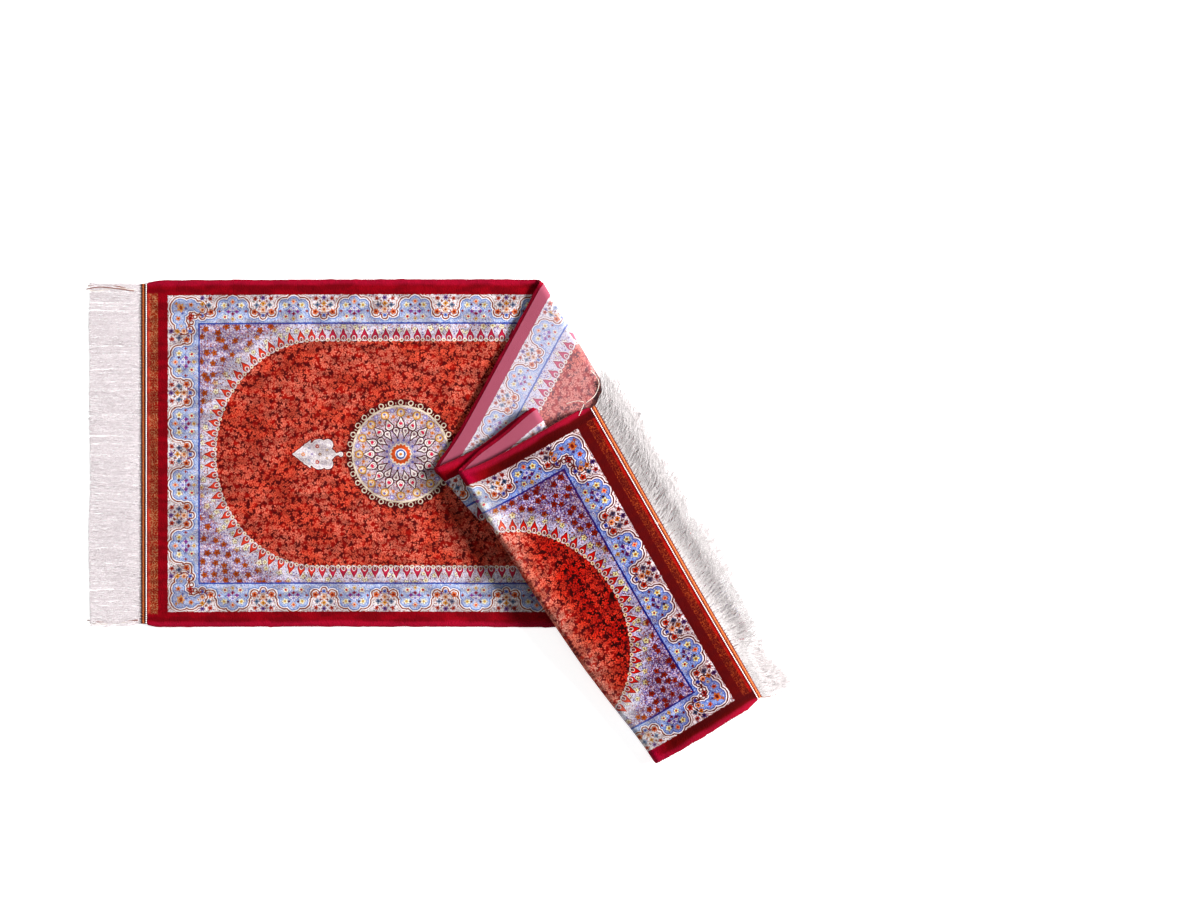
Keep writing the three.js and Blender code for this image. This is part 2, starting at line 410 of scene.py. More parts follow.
def rug_cloth():
    lines = cross_lines()
    t, h = cloth_ring()
    s = lines[:, :1] + lines[:, 1:] * np.clip(t, 0, WIDTH)[None]
    t = np.broadcast_to(t, s.shape)
    h = np.broadcast_to(h, s.shape)
    beyond = np.maximum(np.maximum(-t, t - WIDTH), 0)
    ragged = 1 + 0.16 * soft_noise(s, t, 9, 3) + 0.1 * soft_noise(s, t, 3.5, 4)
    from_end = np.clip(np.minimum(s, LENGTH - s) / 25, 0, 1)
    ragged = ragged * mix(0.3, 1, np.sin(from_end * math.pi / 2))
    uneven_t = t + np.sign(t - WIDTH / 2) * beyond * (ragged - 1)
    uneven_h = h + np.where(h > 2, 0.25 * soft_noise(s, t, 22, 5), 0)
    points = on_cloth(s, uneven_t, uneven_h)
    columns, ring = s.shape
    number = np.arange(columns * ring).reshape(columns, ring)
    on_back = np.zeros(ring, int)
    on_back[ROWS + len(EDGE) + 1:2 * ROWS + len(EDGE) + 1] = 1
    slots = np.tile(on_back, columns - 1)
    faces = walls_between(number).tolist()
    ends = []
    for column, flip in ((0, True), (columns - 1, False)):
        upper = number[column, :ROWS + 1]
        right = number[column, ROWS + 1:ROWS + 1 + len(EDGE)]
        lower = number[column, ROWS + 1 + len(EDGE):2 * ROWS + 2 + len(EDGE)][::-1]
        left = number[column, 2 * ROWS + 2 + len(EDGE):]
        wall = [[upper[n], upper[n + 1], lower[n + 1], lower[n]] for n in range(ROWS)]
        wall.append([upper[-1], *right, lower[-1]])
        wall.append([lower[0], *left, upper[0]])
        ends.extend([[int(n) for n in (face[::-1] if flip else face)] for face in wall])
    faces.extend(ends)
    slots = np.concatenate([slots, np.zeros(len(ends), int)])
    piece = mesh_object("rug_cloth", points.reshape(-1, 3), faces, [pile_face(), pile_back()], slots)
    flat = np.stack([s, t], axis=-1).reshape(-1, 2) * MM
    section = np.concatenate([[0], np.cumsum(np.hypot(np.diff(t[0]), np.diff(h[0])))])
    around = np.tile(section, columns)
    girth = section[-1] + THICK
    add_maps(piece, flat, s.reshape(-1) / LENGTH, around, girth, h.reshape(-1), len(ends))
    piece.data.set_sharp_from_angle(angle=math.radians(50))
    return piece


# Share of the baking map's width that is left for each end wall
END_STRIP = 0.005


def add_maps(piece, flat, along, around, girth, height, end_faces):
    """The map that the pattern reads, in metres of flat rug, and a map with no overlaps for baking."""
    mesh = piece.data
    corners = np.zeros(len(mesh.loops), int)
    mesh.loops.foreach_get("vertex_index", corners)
    pattern = mesh.uv_layers.new(name="flat")
    pattern.data.foreach_set("uv", flat[corners].ravel())
    share = np.stack([mix(END_STRIP, 1 - END_STRIP, along), around / girth], axis=-1)[corners]
    starts = np.zeros(len(mesh.polygons), int)
    totals = np.zeros(len(mesh.polygons), int)
    mesh.polygons.foreach_get("loop_start", starts)
    mesh.polygons.foreach_get("loop_total", totals)
    owner = np.repeat(np.arange(len(totals)), totals)
    walls = len(totals) - end_faces
    lowest = np.full(len(totals), 2.0)
    np.minimum.at(lowest, owner, share[:, 1])
    wraps = (owner < walls) & (share[:, 1] < 0.001)
    highest = np.zeros(len(totals))
    np.maximum.at(highest, owner, share[:, 1])
    wraps &= highest[owner] > 0.5
    share[wraps, 1] = 1
    on_end = owner >= walls
    tall = (height[corners] / THICK + 0.5) * END_STRIP * 0.8
    share[on_end, 0] = np.where(share[on_end, 0] < 0.5, tall[on_end], 1 - tall[on_end])
    share[on_end, 1] = np.clip(flat[corners][on_end, 1] / MM, 0, WIDTH) / girth
    baked = mesh.uv_layers.new(name="OFBake")
    baked.data.foreach_set("uv", share.ravel())


# Colours, chosen and adjusted until regions of the render had about the mean colours of the photograph
CRIMSON = "8e0010"
CRIMSON_LIGHT = "c01434"
FIELD_DARK = "a01208"
FIELD_DEEP = "54090a"
CORAL = "f0563a"
CORAL_DEEP = "d44c36"
CORAL_LIGHT = "f6866e"
WHITE = "f0e8ea"
BLUE = "a6b8e2"
BLUE_PALE = "c8ceea"
BLUE_LINE = "3c50a4"
LILAC = "aea0cc"
LILAC_PALE = "ced0e6"
PURPLE = "564488"
BROWN = "8e3e1e"
RUST = "c4601c"
RUST_DARK = "8a2c0e"
ORANGE = "e88a48"
ORANGE_RED = "dc5420"
FLAME = "dc3c26"
RED = "c02434"
GOLD = "dda048"
CREAM = "eedcc4"
CREAM_PALE = "f0eacc"
MAROON = "54142a"


# How much brighter than its own colour a cloth looks under the lights. Codes give colours as they look.
EXPOSURE = 1.55


def linear(code):
    """The surface colour, in linear light, that looks like an sRGB hex code under the lights."""
    values = [int(code[n:n + 2], 16) / 255 for n in (0, 2, 4)]
    seen = [v / 12.92 if v <= 0.04045 else ((v + 0.055) / 1.055) ** 2.4 for v in values]
    return tuple(v / EXPOSURE for v in seen) + (1,)


class Number:
    """A number that shader nodes work out at each point, so that a pattern reads as plain arithmetic."""

    def __init__(self, tree, socket):
        self.tree = tree
        self.socket = socket

    def work_out(self, operation, *others, clamp=False):
        return math_node(self.tree, operation, (self, *others), clamp)

    def __add__(self, other):
        return self.work_out("ADD", other)

    def __sub__(self, other):
        return self.work_out("SUBTRACT", other)

    def __rsub__(self, other):
        return self.work_out("MULTIPLY_ADD", -1, other)

    def __mul__(self, other):
        return self.work_out("MULTIPLY", other)

    def __truediv__(self, other):
        return self.work_out("DIVIDE", other)

    def __neg__(self):
        return self.work_out("MULTIPLY", -1)

    def __abs__(self):
        return self.work_out("ABSOLUTE")

    __radd__ = __add__
    __rmul__ = __mul__


def connect(tree, value, socket):
    """Links a number, place, colour or output to a socket, or writes a constant there."""
    if isinstance(value, Colour):
        value = value.now
    if isinstance(value, (Number, Place)):
        value = value.socket
    if isinstance(value, bpy.types.NodeSocket):
        tree.links.new(value, socket)
    else:
        socket.default_value = linear(value) if isinstance(value, str) else value


def add_node(tree, kind, inputs, **settings):
    """A shader node with its settings, and with its inputs linked or written."""
    node = tree.nodes.new("ShaderNode" + kind)
    for name, value in settings.items():
        setattr(node, name, value)
    for key, value in inputs.items():
        connect(tree, value, node.inputs[key])
    return node


def math_node(tree, operation, operands, clamp=False):
    node = add_node(tree, "Math", dict(enumerate(operands)), operation=operation, use_clamp=clamp)
    return Number(tree, node.outputs[0])


def coordinates(tree, socket):
    """The x, y and z of a vector, as numbers."""
    return [Number(tree, output) for output in add_node(tree, "SeparateXYZ", {0: socket}).outputs]


def least(*numbers):
    found = numbers[0]
    for number in numbers[1:]:
        found = found.work_out("MINIMUM", number)
    return found


def most(*numbers):
    found = numbers[0]
    for number in numbers[1:]:
        found = found.work_out("MAXIMUM", number)
    return found


# How many millimetres it takes one colour to turn into the next
SOFT = 0.45


def inside(distance, edge=0.0, soft=SOFT):
    """1 where a distance is under the edge, and 0 past it."""
    return distance.work_out("MULTIPLY_ADD", -1 / soft, edge / soft + 0.5, clamp=True)


def outside(distance, edge=0.0, soft=SOFT):
    return distance.work_out("MULTIPLY_ADD", 1 / soft, 0.5 - edge / soft, clamp=True)


def band(distance, middle_line, half, soft=SOFT):
    return inside(abs(distance - middle_line), half, soft)


def from_nearest(number, pitch):
    """How far a number is from the nearest whole multiple of a pitch."""
    steps = number / pitch
    return (steps - (steps + 0.5).work_out("FLOOR")) * pitch


class Place:
    """A point of a flat drawing, in millimetres."""

    def __init__(self, x, y):
        self.tree = x.tree
        self.x = x
        self.y = y
        self.socket = add_node(self.tree, "CombineXYZ", {0: x, 1: y}).outputs[0]

    def to(self, x, y):
        """Distance to a fixed point."""
        node = add_node(self.tree, "VectorMath", {0: self, 1: (x, y, 0)}, operation="DISTANCE")
        return Number(self.tree, node.outputs["Value"])

    def disc(self, x, y, radius):
        """Distance outside a disc, negative inside it."""
        return self.to(x, y) - radius

    def angle(self):
        return self.y.work_out("ARCTAN2", self.x)

    def noise(self, size, detail=0.0, shift=0.0):
        place = Place(self.x + shift, self.y) if shift else self
        inputs = {"Scale": 1 / size, "Detail": detail, "Distortion": 0, "Vector": place}
        return Number(self.tree, add_node(self.tree, "TexNoise", inputs, noise_dimensions="2D").outputs[0])

    def curls(self, size, half, soft=0.03, shift=0.0):
        """Thin winding lines, where a noise crosses its middle."""
        return inside(abs(self.noise(size, 1.0, shift) - 0.5), half, soft)

    def cells(self, size, randomness):
        """Distance to the nearest of many scattered points, the angle as seen from it, and its chance."""
        inputs = {"Scale": 1 / size, "Randomness": randomness, "Vector": self}
        nearest = add_node(self.tree, "TexVoronoi", inputs, voronoi_dimensions="2D").outputs
        gap = Number(self.tree, nearest["Distance"]) * size
        local = add_node(self.tree, "VectorMath", {0: self, 1: nearest["Position"]}, operation="SUBTRACT")
        x, y, _ = coordinates(self.tree, local.outputs[0])
        chance = add_node(self.tree, "SeparateColor", {0: nearest["Color"]})
        return gap, y.work_out("ARCTAN2", x), Number(self.tree, chance.outputs[0])


class Colour:
    """A colour that is painted over, one mask at a time. now: a code, or the output of a node."""

    def __init__(self, tree, now):
        self.tree = tree
        self.now = now

    def paint(self, mask, colour, way="MIX"):
        inputs = {"Fac": mask, "Color1": self.now, "Color2": colour}
        self.now = add_node(self.tree, "MixRGB", inputs, blend_type=way).outputs["Color"]
        return self

    def paint_rings(self, distance, *rings):
        """Paints inside each edge of one distance, the widest first."""
        for edge, colour in rings:
            self.paint(inside(distance, edge), colour)

    def multiply(self, share, red, green, blue):
        self.paint(share, (red, green, blue, 1), "MULTIPLY")

    def power(self, exponent):
        self.now = add_node(self.tree, "Gamma", {0: self.now, 1: exponent}).outputs[0]


# The pattern, in millimetres. u is the distance from the nearer end, and v from the nearer long edge.
BORDER_U = 30
BORDER_V = 17.5
BORDER_DEEP = 43  # the border's depth, to which both its widths are scaled
END_BORDER = 45
SIDE_BORDER = 41
LINE_WIDE = 2.0
ARCH_U = 249.5
ARCH_ALONG = 155
ARCH_ACROSS = 171
ARCH_MEAN = 163.2  # mean radius of the round end
ARCH_ROUND = 256.35  # length of the round end, from the axis to the straight side
DROP_PITCH = 15.465
MEDALLION_U = 371
MEDALLION_RIM = 71.5
PETALS = 16
# The repeat of the border: a blue lobe at each multiple of the pitch, and a white pocket between lobes
REPEAT = 89.5
HALF_REPEAT = REPEAT / 2
# Places of the lobes, from the border's corner. Past from_u, a long side has one more lobe at its own pitch
END_LOBES = {"first": 97.5, "pitch": 90}
SIDE_LOBES = {"first": 95, "pitch": 89}
MIDDLE_LOBE = {"u": 645, "from_u": 614.5, "pitch": 75}
CORNER_REACH = 53
LOBE_DISCS = table(
    "x q radius",
    (0, 10.8, 8.8),
    (13.0, 15.4, 8.6),
    (17.0, 24.0, 6.4),
)
POCKET_DISCS = table(
    "x q radius",
    (HALF_REPEAT - 12.5, 27.0, 9.4),
    (HALF_REPEAT, 32.5, 7.4),
)
CORNER_DISCS = table(
    "x q radius",
    (18.6, 18.6, 13.0),
    (34.0, 15.2, 8.8),
    (45.5, 19.0, 7.2),
    (50.5, 23.0, 4.4),
)
SCROLL_DISCS = table(
    "x q radius",
    (40.0, 33.0, 5.6),
    (50.0, 31.5, 7.4),
    (60.0, 28.0, 8.4),
)
# Small flowers of the border. x: from the lobe's middle. q: from the outer edge
FLOWERS = table(
    "x q radius petals heart count",
    (0, 20.6, 5.2, "d8d6ee", "8c80c0", 6),
    (0, 10.4, 4.6, "eec0a8", ORANGE_RED, 5),
    (12.6, 15.8, 5.4, CREAM_PALE, "c89c48", 5),
    (6.8, 15.4, 2.2, MAROON, MAROON, 4),
    (6.2, 25.5, 3.4, "9a4a9c", "6c2c80", 4),
    (0, 29, 3.2, "b03458", MAROON, 4),
    (11.4, 33.5, 4.9, CREAM_PALE, RED, 5),
    (19.6, 25.0, 2.4, "c04838", MAROON, 4),
    (0, 36.6, 3.8, "e8cc98", "b07038", 5),
    (21.0, 38.0, 2.6, "f0eef8", "8c80c0", 5),
    (HALF_REPEAT - 12.6, 26.0, 5.2, "de6c38", "8c2014", 5),
    (HALF_REPEAT - 9.6, 15.6, 4.4, "6e7e98", "34405c", 4),
    (HALF_REPEAT - 11.6, 5.6, 3.9, "c84c34", "6c1810", 5),
    (HALF_REPEAT, 4.6, 4.3, "76589c", "38264e", 6),
    (HALF_REPEAT, 13.4, 4.3, "e0a04c", "9c541c", 4),
    (HALF_REPEAT, 22.6, 5.0, "ecb48c", "9c4c30", 6),
    (HALF_REPEAT, 31.2, 3.8, "6c84cc", "2c4494", 5),
    (HALF_REPEAT - 5.4, 9.4, 2.0, BROWN, BROWN, 4),
    (HALF_REPEAT - 5.0, 18.4, 2.0, "7c2c24", MAROON, 4),
    (HALF_REPEAT - 6.2, 28.6, 2.2, "8c5a9c", MAROON, 4),
)
CORNER_FLOWERS = table(
    "x q radius petals heart count",
    (18.6, 18.6, 7.4, "e6a468", "a84c20", 6),
    (34.0, 14.6, 4.0, "ec9050", "8c2c14", 5),
    (45.0, 18.6, 3.0, "f0e4d4", "b05030", 5),
    (12.0, 12.0, 2.6, GOLD, RUST, 4),
    (26.4, 20.6, 2.4, "7c88c8", "34408c", 4),
    (33.5, 31.5, 4.6, "c43828", "70140e", 5),
    (64.0, 7.0, 4.0, "98382a", "501410", 5),
    (55.0, 9.0, 2.8, "76589c", "38264e", 5),
    (71.0, 14.0, 3.0, "5c7088", "34405c", 4),
    (60.5, 27.6, 3.4, "d87848", "8c2014", 5),
)


# Shares of a small flower's radius
FLOWER = {"round": 0.76, "lobed": 0.17, "heart": 0.38}


def disc_union(place, rows):
    return least(*[place.disc(row["x"], row["q"], row["radius"]) for row in rows])


def paint_flowers(colour, place, rows, outline="5c2a34"):
    """Small flowers with a fixed number of petals and a heart, all outlined in one colour.

    Each paint takes room in the shader, which is limited, so the outlines share one.
    """
    edges = []
    for row in rows:
        seen = Place(place.x - row["x"], place.y - row["q"])
        lobed = (seen.angle() * row["count"]).work_out("COSINE") * (FLOWER["lobed"] * row["radius"])
        edges.append(place.to(row["x"], row["q"]) - lobed - row["radius"] * FLOWER["round"])
    colour.paint(inside(least(*edges), 0.5) * 0.5, outline)
    for row, edge in zip(rows, edges):
        colour.paint(inside(edge, -0.2), row["petals"])
        heart = inside(place.to(row["x"], row["q"]), row["radius"] * FLOWER["heart"], 0.7)
        colour.paint(heart, row["heart"])


def paint_dots(colour, place, size, radius, codes, mask=1.0):
    """Scattered small dots, each in one of several colours."""
    gap, _, chance = place.cells(size, 0.9)
    for n, code in enumerate(codes):
        chosen = chance.work_out("GREATER_THAN", n / len(codes)) if n else 1.0
        colour.paint(inside(gap, radius, 0.6) * chosen * mask, code)


def border_colour(place, u, v):
    """The border's colour, and q, the distance in from its outer edge."""
    deep_u = (u - BORDER_U) * (BORDER_DEEP / END_BORDER)
    deep_v = (v - BORDER_V) * (BORDER_DEEP / SIDE_BORDER)
    on_side = deep_v.work_out("LESS_THAN", deep_u)
    q = least(deep_u, deep_v)
    along = (v - BORDER_V) + on_side * ((u - BORDER_U) - (v - BORDER_V))
    first = mix(END_LOBES["first"], SIDE_LOBES["first"], on_side)
    steps = (along - first) / mix(END_LOBES["pitch"], SIDE_LOBES["pitch"], on_side)
    crowded = on_side * u.work_out("GREATER_THAN", MIDDLE_LOBE["from_u"])
    steps = mix(steps, (u - MIDDLE_LOBE["u"]) / MIDDLE_LOBE["pitch"], crowded)
    x = abs(steps - (most(steps, 0) + 0.5).work_out("FLOOR")) * REPEAT
    drawing = Place(x, q)
    corner = Place(along, q)
    lobe = least(disc_union(drawing, LOBE_DISCS), most(x - 24, 24 - q))
    blue = most(least(lobe, 33.5 - q), -disc_union(drawing, POCKET_DISCS))
    blue = most(blue, -disc_union(corner, SCROLL_DISCS))
    blue = least(blue, disc_union(corner, CORNER_DISCS))
    colour = Colour(place.tree, WHITE)
    colour.paint(place.curls(5.6, 0.035, 0.03) * 0.6, "a8705c")
    colour.paint(place.curls(6.4, 0.03, 0.03, 210) * 0.5, "7c6294")
    paint_dots(colour, place, 5.2, 0.85, ("c8562c", "8c3a2c", "6c5a94", "7c8c78"))
    colour.paint_rings(blue, (6.4, "a86848"), (5.6, WHITE), (3.8, BROWN), (1.9, WHITE))
    colour.paint_rings(blue, (0.2, "5a70b0"), (-1.0, BLUE))
    colour.paint(inside(blue, -5.5, 6) * 0.7, BLUE_PALE)
    colour.paint(place.curls(5.0, 0.045, 0.04, 40) * inside(blue, -2, 2) * 0.6, "e4e6f6")
    colour.paint(place.curls(4.4, 0.035, 0.03, 90) * inside(blue, -1.5, 1) * 0.6, "6276b8")
    paint_dots(colour, place, 5.6, 0.75, ("b85a4c", "6c64a8", "f2ead8"), inside(blue, -2))
    paint_flowers(colour, drawing, FLOWERS)
    in_corner = inside(along, CORNER_REACH)
    corner_colour = Colour(place.tree, WHITE).paint(1.0, colour)
    paint_flowers(corner_colour, corner, CORNER_FLOWERS)
    corner_colour.paint(band(corner.to(49.5, 30.5), 4.4, 0.65), BROWN)
    corner_colour.paint(inside(corner.to(48.5, 31.0), 1.4), BROWN)
    colour.paint(in_corner, corner_colour)
    colour.paint(outside(q, BORDER_DEEP - 0.6), BLUE_LINE)
    return colour, q


def arch_numbers(u, v):
    """How far a point is outside the arch, and how far round the arch it is, from the axis.

    The round end is half an ellipse, whose length is near that of its mean circle less a wave.
    """
    x = least(u - ARCH_U, 0)
    y = most(WIDTH / 2 - v, 0.01)
    reach = (x * x + y * y).work_out("SQRT")
    scaled_x = -x / ARCH_ALONG
    scaled_y = y / ARCH_ACROSS
    scaled = (scaled_x * scaled_x + scaled_y * scaled_y).work_out("SQRT")
    beyond = (scaled - 1) * reach / scaled
    turn = scaled_x.work_out("ARCTAN2", scaled_y)
    round_part = turn * ARCH_MEAN - (turn * 2).work_out("SINE") * ((ARCH_ACROSS - ARCH_ALONG) / 4)
    run = most(u - ARCH_U, 0) - round_part + ARCH_ROUND
    return beyond, run


def spandrel_colour(place, beyond):
    """Lilac ground with rust flowers, turning pale beside the arch, where the flowers are cream."""
    pale = inside(beyond + place.noise(14) * 10, 27, 8)
    colour = Colour(place.tree, LILAC)
    colour.paint(pale, LILAC_PALE)
    colour.paint(place.curls(4.0, 0.06, 0.05) * mix(0.85, 0.4, pale), PURPLE)
    colour.paint(place.curls(4.6, 0.05, 0.05, 70) * 0.8, "ece2ee")
    colour.paint(place.curls(5.4, 0.035, 0.04, 160) * 0.7, "b05c40")
    paint_dots(colour, place, 4.6, 1.0, ("9a4a30", "f0dce4", "5c4a94", "e8e4f4"))
    gap, angle, chance = place.cells(15.5, 0.75)
    edge = gap - (angle * 5 + chance * 6).work_out("COSINE") * 0.9 - chance * 0.9 - 3.1
    petals = Colour(place.tree, RUST)
    petals.paint(chance, "a8481a")
    petals.paint(pale, "ece4c4")
    colour.paint(inside(edge, 0.8), "5c2c44")
    colour.paint(inside(edge), petals)
    heart = Colour(place.tree, RUST_DARK)
    heart.paint(pale, "b08c58")
    colour.paint(inside(gap, 1.5, 0.8), heart)
    return colour


def field_colour(place, beyond):
    """Coral florets and leaves on dark red, tone on tone."""
    patchy = place.noise(45, 1.0)
    ground = Colour(place.tree, FIELD_DEEP)
    ground.paint(inside(place.noise(9) + patchy * 0.4, 0.68, 0.3), FIELD_DARK)
    coral = Colour(place.tree, CORAL)
    coral.paint(inside(patchy, 0.5, 0.2), CORAL_LIGHT)
    coral.paint(place.noise(3.0, shift=20), CORAL_DEEP)
    bent = Place(place.x + place.noise(7, shift=400) * 5, place.y + place.noise(7, shift=500) * 5)
    gap, angle, chance = bent.cells(9.4, 0.8)
    petals = (angle * 5 + chance * 9).work_out("COSINE")
    reach = gap - petals * 0.95
    florets = inside(reach, 3.7, 0.7) * outside(gap, 0.7, 0.5) * outside(petals, -0.86, 0.25)
    leaf_gap = bent.cells(5.0, 1.0)[0]
    leaves = inside(leaf_gap, 1.35, 0.5) * outside(reach, 4.9, 0.6)
    drawn = most(florets, leaves)
    ground.paint(drawn * inside(beyond, -6.5) * 0.92, coral)
    return ground


def paint_arch(colour, place, beyond, run):
    """Flame-shaped drops around the field, and a cream ring between each two."""
    beside = abs(from_nearest(run, DROP_PITCH))
    drop = Place(beside, beyond)
    cone = most(beside * 0.907 + beyond * 0.4 - 4.7, -beyond)
    body = least(drop.disc(0, 0, 5.1), cone)
    flame = Colour(place.tree, "ba2444").paint(inside(run, ARCH_ROUND, 30), FLAME)
    colour.paint_rings(body, (1.4, "ece0e6"), (0.5, "8c1c24"), (-0.6, flame))
    eye = Place(beside * 1.35, beyond).to(0, -1.9)
    colour.paint_rings(eye, (3.9, "f0e2dc"), (2.6, "6c1430"), (1.1, "c87468"))
    between = Place(DROP_PITCH / 2 - beside, beyond)
    colour.paint_rings(between.to(0, -0.6), (2.4, "c8b4d0"))
    colour.paint_rings(between.to(0, -4.4), (2.8, CREAM), (1.2, "8c2c24"))


PENDANT_DOTS = table(
    "x y radius colour",
    (248.6, 11.5, 2.8, "c4403c"),
    (228, 0, 2.6, ORANGE),
    (252.6, 0, 2.3, "8c6040"),
    (241, 0, 1.8, "8c78b8"),
    (263, 6, 2.0, "c8a888"),
    (236, 9, 1.6, "88a0c0"),
)


def paint_pendant(colour, place):
    """A pale leaf shape with a scalloped outline, on the axis before the medallion."""
    tip = most(place.y * 0.79 + (213.5 - place.x) * 0.61, place.x - 238)
    tail = most(place.y * 0.72 + (place.x - 277) * 0.69, 256 - place.x)
    discs = [place.disc(237, 6.5, 9.8), place.disc(251.5, 10, 11.4), place.disc(264, 14, 7.2)]
    body = least(tip, tail, *discs, place.disc(283, 0, 2.8), most(place.y - 0.8, abs(place.x - 280) - 5))
    colour.paint_rings(body, (2.0, "5c0a1e"), (0.8, "f4e8e6"))
    colour.paint(band(body, -1.4, 0.4) * 0.6, "9a86a8")
    colour.paint(place.curls(3.4, 0.06, 0.04) * inside(body, -2) * 0.65, "a89ab8")
    for dot in PENDANT_DOTS:
        radius = dot["radius"]
        colour.paint_rings(place.to(dot["x"], dot["y"]), (radius, dot["colour"]), (radius * 0.4, "f0dcc8"))


def paint_medallion(colour, place):
    """A round medallion: rings of drops, hearts and flowers around an orange flower."""
    seen = Place(place.x - MEDALLION_U, place.y)
    r = place.to(MEDALLION_U, 0)
    turn = seen.angle()
    step = 2 * math.pi / PETALS
    on_axis = abs(from_nearest(turn, step)) * r
    off_axis = r * (step / 2) - on_axis
    loop = abs(from_nearest(turn, step / 2)) * r
    here = Place(on_axis, r)
    there = Place(off_axis, r)
    rim = Place(loop, r)
    beads = rim.to(0, 75.6)
    stems = most(abs(loop - MEDALLION_RIM * step / 4 - 0.4) - 0.5, r - 76)
    colour.paint(inside(r, 80, 1.5), FIELD_DEEP)
    colour.paint(inside(stems), CREAM)
    colour.paint_rings(beads, (4.0, CREAM), (2.5, FIELD_DEEP))
    disc = Colour(place.tree, "d8c8d2")
    disc.paint(place.curls(3.8, 0.06, 0.05) * 0.75, "8a5c70")
    paint_dots(disc, place, 4.2, 0.9, ("a8522c", "5c4a8c", "e8c890", "b0304c"))
    disc.paint(inside(r, 30, 6) * 0.5, "b0a4c4")
    outer = least(here.disc(0, 43.6, 4.7), most(on_axis * 0.9 + (r - 53.5) * 0.43, 43.6 - r))
    inner = least(there.disc(0, 35.2, 3.7), most(off_axis * 0.94 - (r - 26.5) * 0.35, r - 35.2))
    for shape in (outer, inner):
        disc.paint_rings(shape, (1.9, "46161f"), (0.3, "f4e8e4"))
        disc.paint(band(shape, -1.9, 0.5) * 0.8, "8c5058")
    disc.paint_rings(least(here.to(0, 44.6), here.to(1.0, 45.4)), (1.9, "d02a4c"))
    disc.paint_rings(there.to(0, 35.2), (1.2, "5c3a50"))
    disc.paint_rings(here.to(0, 61), (6.4, "8c5a28"), (5.8, GOLD), (4.0, CREAM))
    disc.paint_rings(here.to(0, 62.6), (1.8, "7a68b8"))
    disc.paint_rings(here.to(0, 58.6), (1.3, ORANGE))
    disc.paint_rings(there.to(0, 55.6), (2.5, "e0864a"), (0.9, RUST_DARK))
    disc.paint_rings(there.to(0, 64.6), (3.2, "9c92d4"), (1.2, "eeeaf6"))
    disc.paint_rings(there.to(0, 20.6), (2.0, "6464ac"))
    scalloped = r - (turn * PETALS).work_out("COSINE") * 0.9
    disc.paint_rings(scalloped, (17.4, "7a86b8"), (16.4, CREAM), (14.0, ORANGE_RED))
    disc.paint_rings(r, (8.4, "f2ecf0"), (7.0, "3858a8"), (4.8, "f4f0f0"), (2.2, "cc7428"))
    disc.paint(outside(r, 68.8), CREAM)
    colour.paint(inside(r, MEDALLION_RIM), disc)


# How the knots put every line a little out of true
WOBBLE = {"size": 4.0, "reach": 1.1}


def rug_pattern():
    """The whole pattern as a node group that gives the colour at each place on the flat rug."""
    tree = bpy.data.node_groups.new("rug_pattern", "ShaderNodeTree")
    tree.interface.new_socket("Color", in_out="OUTPUT", socket_type="NodeSocketColor")
    tree.interface.new_socket("Place", in_out="OUTPUT", socket_type="NodeSocketVector")
    result = tree.nodes.new("NodeGroupOutput")
    s, t, _ = coordinates(tree, add_node(tree, "UVMap", {}, uv_map="flat").outputs[0])
    woven = Place(s / MM, t / MM)
    s = woven.x + (woven.noise(WOBBLE["size"]) - 0.5) * WOBBLE["reach"]
    t = woven.y + (woven.noise(WOBBLE["size"], shift=50) - 0.5) * WOBBLE["reach"]
    u = LENGTH / 2 - abs(s - LENGTH / 2)
    v = WIDTH / 2 - abs(t - WIDTH / 2)
    place = Place(s, t)
    beyond, run = arch_numbers(u, v)
    border, q = border_colour(place, u, v)
    colour = Colour(tree, CRIMSON)
    colour.paint(outside(q), border)
    within = outside(q, BORDER_DEEP + LINE_WIDE)
    colour.paint(within, spandrel_colour(place, beyond))
    colour.paint(inside(beyond, -4.5), field_colour(place, beyond))
    arch = Colour(tree, CRIMSON).paint(1.0, colour)
    paint_arch(arch, place, beyond, run)
    colour.paint(within, arch)
    axis = Place(u, WIDTH / 2 - v)
    paint_medallion(colour, axis)
    paint_pendant(colour, axis)
    paint_end_band(colour, place, u, v)
    connect(tree, colour, result.inputs["Color"])
    connect(tree, woven, result.inputs["Place"])
    return tree


def paint_end_band(colour, place, u, v):
    """A rust strip with gold curls at each end, brighter at the very edge."""
    strip = inside(u, 15.5, 1.2) * outside(v, 15, 2)
    ground = Colour(place.tree, RUST_DARK)
    ground.paint(place.noise(25), "94180e")
    ground.paint(inside(u, 4.5, 3), "c02c20")
    ground.paint(place.curls(3.6, 0.045, 0.05) * outside(u, 2.5, 3) * 0.72, "cc8a60")
    colour.paint(strip, ground)


pattern = rug_pattern()


def set_inputs(node, values):
    for name, value in values.items():
        node.inputs[name].default_value = value


def principled(name, roughness, sheen=0.0, sheen_roughness=0.5, tint="ffffff"):
    """A cloth material, ready for its colour and bump."""
    material = bpy.data.materials.new(name)
    material.use_nodes = True
    shader = material.node_tree.nodes["Principled BSDF"]
    set_inputs(shader, {"Roughness": roughness, "Specular IOR Level": 0.15, "Sheen Weight": sheen})
    set_inputs(shader, {"Sheen Roughness": sheen_roughness, "Sheen Tint": linear(tint)})
    return material, material.node_tree, shader


def bump(tree, shader, height, deep):
    """Turns a height from 0 to 1 into bumps that are deep metres tall."""
    node = add_node(tree, "Bump", {"Distance": deep, "Strength": 1.0, "Height": height})
    connect(tree, node.outputs[0], shader.inputs["Normal"])


def patterned(tree):
    """The rug's pattern colour, and the flat place in millimetres."""
    given = add_node(tree, "Group", {}, node_tree=pattern).outputs
    s, t, _ = coordinates(tree, given["Place"])
    return Colour(tree, given["Color"]), Place(s, t)
